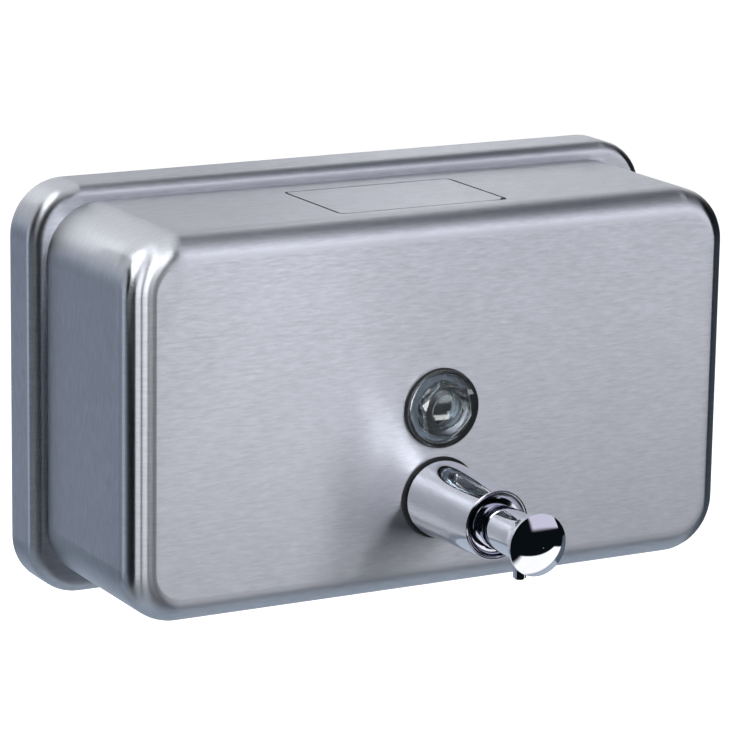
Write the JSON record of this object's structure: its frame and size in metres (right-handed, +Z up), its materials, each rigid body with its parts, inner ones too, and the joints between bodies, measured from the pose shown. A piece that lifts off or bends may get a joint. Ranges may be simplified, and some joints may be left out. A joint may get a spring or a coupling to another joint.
{
  "type": "wall mounted soap dispenser",
  "caption": "Horizontal brushed steel wall soap dispenser with a chrome push valve, round sight window, flush hinged filler lid and a concealed hook-on wall plate.",
  "frame": {"origin": "centre of the four wall screw holes, on the wall", "axes": "+X along the wall to the right as seen from the front, +Y into the wall, +Z up"},
  "size_m": [0.206, 0.1293, 0.1235],
  "materials": {
    "brushed_stainless": "satin brushed along the long side",
    "polished_chrome": "mirror polished",
    "black_rubber": "matt moulded",
    "clear_acrylic": "clear polished moulding",
    "plain_steel": "mill finish stainless",
    "white_nylon": "moulded, slightly translucent white"
  },
  "bodies": {
    "housing": {"front_shell": "brushed_stainless", "back_pan": "brushed_stainless", "valve_barrel": "polished_chrome", "barrel_gasket": "black_rubber", "inner_gasket": "black_rubber", "window_gasket": "black_rubber", "wiper_seal": "black_rubber", "window_lens": "clear_acrylic", "wall_plate": "plain_steel", "hanger_bracket": "plain_steel", "hinge_pin": "plain_steel", "lock_screw": "plain_steel", "latch_spring": "plain_steel", "latch_rivet": "plain_steel", "return_spring": "plain_steel", "filler_frame": "white_nylon", "guide_bush": "white_nylon", "pump_cylinder": "white_nylon", "inlet_elbow": "white_nylon", "dip_tube": "white_nylon", "valve_locknut": "white_nylon", "window_nut": "white_nylon"},
    "plunger": {"plunger_stem": "polished_chrome", "push_button": "polished_chrome", "spout_nozzle": "polished_chrome", "drip_tip": "black_rubber", "piston": "white_nylon", "piston_seal": "black_rubber"},
    "lid": {"filler_lid": "brushed_stainless", "lid_gasket": "black_rubber", "latch_tongue": "plain_steel"},
    "check_ball": {"inlet_ball": "plain_steel"}
  },
  "joints": [
    {"name": "plunger_press", "type": "slide", "parent": "housing", "child": "plunger", "axis": [0, 1, 0], "range_m": [0, 0.01], "stiffness_N_per_m": 500, "springref_m": -0.01, "deforming": ["return_spring"]},
    {"name": "lid_hinge", "type": "hinge", "parent": "housing", "child": "lid", "pos_m": [0, -0.0302, 0.05275], "axis": [-1, 0, 0], "range_deg": [0, 110], "deforming": ["latch_spring"]},
    {"name": "check_ball_lift", "type": "slide", "parent": "housing", "child": "check_ball", "axis": [0, 0, 1], "range_m": [0, 0.002]}
  ]
}
